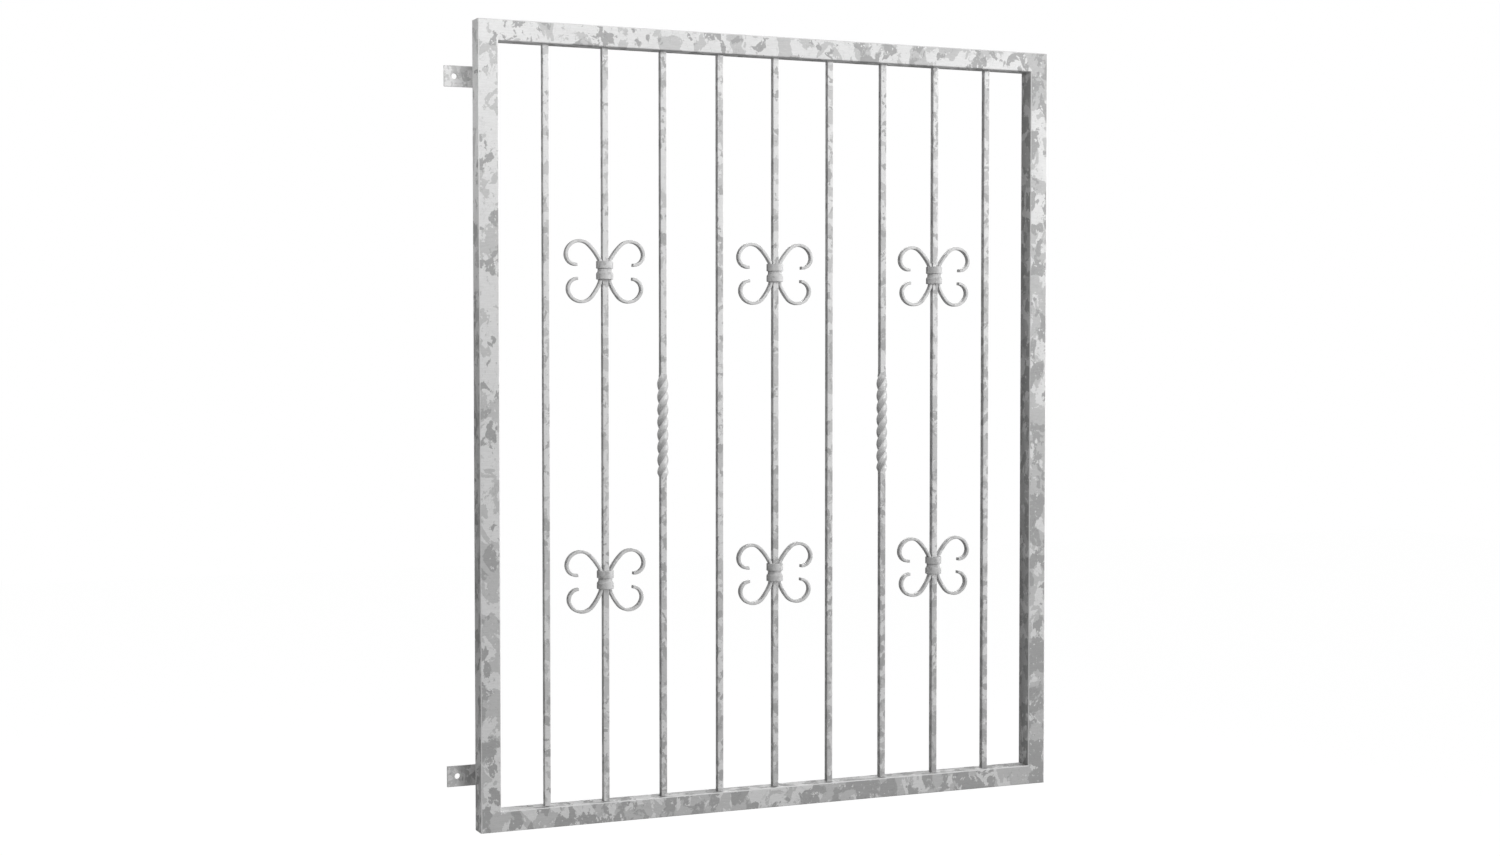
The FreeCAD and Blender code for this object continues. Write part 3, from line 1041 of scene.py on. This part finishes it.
@dataclass
class Studio:
    """Camera, lamps, floor and background of the picture. Lengths are in metres here."""

    camera_place: tuple[float, float, float] = (-1.1699, -4.0678, 0.1462)
    camera_yaw: float = 23.7069
    camera_pitch: float = -1.9957
    lens: float = 52.615
    sensor: float = 36.0
    camera_reach: float = 100.0
    key_azimuth: float = 42.0
    key_elevation: float = 7.0
    key_strength: float = 1.5
    key_softness: float = 15.0
    ambient: float = 0.02
    floor_rise: float = -1.68
    floor_half: float = 14.0
    floor_paint: float = 0.3
    floor_glow: float = 0.972
    panels: tuple[Panel, ...] = (SKY_PANEL, HIGH_PANEL, LEFT_PANEL, LOW_LEFT_PANEL, RIGHT_PANEL, REAR_PANEL)

    def add_camera(self) -> None:
        """Sets the camera where the photograph was taken."""
        data = bpy.data.cameras.new("camera")
        data.lens = self.lens
        data.sensor_width = self.sensor
        data.sensor_fit = "HORIZONTAL"
        data.clip_end = self.camera_reach
        camera = bpy.data.objects.new("camera", data)
        camera.location = self.camera_place
        camera.rotation_euler = (math.radians(90 + self.camera_pitch), 0, math.radians(-self.camera_yaw))
        bpy.context.scene.collection.objects.link(camera)
        bpy.context.scene.camera = camera

    def add_key(self) -> None:
        """Hangs the soft main light low on the right in front."""
        data = bpy.data.lights.new("key", "SUN")
        data.energy = self.key_strength
        data.angle = math.radians(self.key_softness)
        azimuth = math.radians(self.key_azimuth)
        elevation = math.radians(self.key_elevation)
        towards = Vector((math.sin(azimuth) * math.cos(elevation), -math.cos(azimuth) * math.cos(elevation),
                          math.sin(elevation)))
        key = bpy.data.objects.new("key", data)
        key.rotation_euler = towards.to_track_quat("Z", "Y").to_euler()
        bpy.context.scene.collection.objects.link(key)

    def add_panel(self, panel: Panel) -> None:
        """Hangs a rectangular soft light.

        Args:
            panel: What the light is like.
        """
        data = bpy.data.lights.new(panel.name, "AREA")
        data.shape = "RECTANGLE"
        data.size, data.size_y = panel.size
        data.energy = panel.power
        lamp = bpy.data.objects.new(panel.name, data)
        lamp.location = panel.place
        lamp.rotation_euler = (Vector(panel.place) - Vector(panel.target)).to_track_quat("Z", "Y").to_euler()
        bpy.context.scene.collection.objects.link(lamp)

    def seen_directly(self, tree: bpy.types.NodeTree) -> bpy.types.NodeSocket:
        """Gives 1 for rays that show the background as such, and 0 for rays that only carry its light.

        Args:
            tree: The node tree to add to.

        Returns:
            The socket with that value.
        """
        path = tree.nodes.new("ShaderNodeLightPath")
        total = path.outputs["Is Camera Ray"]
        for name in ("Is Glossy Ray", "Is Transmission Ray"):
            larger = tree.nodes.new("ShaderNodeMath")
            larger.operation = "MAXIMUM"
            tree.links.new(total, larger.inputs[0])
            tree.links.new(path.outputs[name], larger.inputs[1])
            total = larger.outputs["Value"]
        return total

    def add_world(self) -> None:
        """Makes the white background and the soft light that comes from all sides."""
        world = bpy.data.worlds.new("white_room")
        world.use_nodes = True
        tree = world.node_tree
        tree.nodes.clear()
        soft = tree.nodes.new("ShaderNodeBackground")
        soft.inputs["Color"].default_value = (1, 1, 1, 1)
        soft.inputs["Strength"].default_value = self.ambient
        white = tree.nodes.new("ShaderNodeBackground")
        white.inputs["Color"].default_value = (1, 1, 1, 1)
        white.inputs["Strength"].default_value = 1.0
        mix = tree.nodes.new("ShaderNodeMixShader")
        output = tree.nodes.new("ShaderNodeOutputWorld")
        tree.links.new(self.seen_directly(tree), mix.inputs["Fac"])
        tree.links.new(soft.outputs["Background"], mix.inputs[1])
        tree.links.new(white.outputs["Background"], mix.inputs[2])
        tree.links.new(mix.outputs["Shader"], output.inputs["Surface"])
        bpy.context.scene.world = world

    def floor_material(self) -> bpy.types.Material:
        """Paints the floor white, so that only the grille's shadow shows on it.

        Returns:
            The material.
        """
        board = NodeBoard("white_floor")
        paint = board.add("ShaderNodeBsdfDiffuse")
        paint.inputs["Color"].default_value = (self.floor_paint, self.floor_paint, self.floor_paint, 1)
        glow = board.add("ShaderNodeEmission")
        glow.inputs["Color"].default_value = (1, 1, 1, 1)
        strength = board.math("MULTIPLY", self.seen_directly(board.tree), self.floor_glow)
        board.join(strength, glow.inputs["Strength"])
        both = board.add("ShaderNodeAddShader")
        output = board.add("ShaderNodeOutputMaterial")
        board.join(paint.outputs["BSDF"], both.inputs[0])
        board.join(glow.outputs["Emission"], both.inputs[1])
        board.join(both.outputs["Shader"], output.inputs["Surface"])
        return board.material

    def add_floor(self) -> None:
        """Lays the floor, as far down as it lies under a window."""
        shape = bmesh.new()
        bmesh.ops.create_grid(shape, x_segments=1, y_segments=1, size=self.floor_half)
        bmesh.ops.translate(shape, vec=(0, 0, self.floor_rise), verts=list(shape.verts))
        mesh = bpy.data.meshes.new("floor")
        shape.to_mesh(mesh)
        shape.free()
        mesh.materials.append(self.floor_material())
        floor = bpy.data.objects.new("floor", mesh)
        bpy.context.scene.collection.objects.link(floor)

    def build(self) -> None:
        """Sets up the whole studio."""
        bpy.context.scene.view_settings.view_transform = "Standard"
        self.add_camera()
        self.add_key()
        for panel in self.panels:
            self.add_panel(panel)
        self.add_world()
        self.add_floor()


def main() -> None:
    """Builds the grille's pieces in order, then the studio."""
    logging.basicConfig(level=logging.INFO, format="%(message)s")
    LOG.info("dressing %d solids", len(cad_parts))
    bars = SquareBars()
    TubeFrame().build()
    bars.build()
    Ornaments(bars).build()
    Lugs().build()
    Studio().build()


if __name__ == "__main__":
    main()
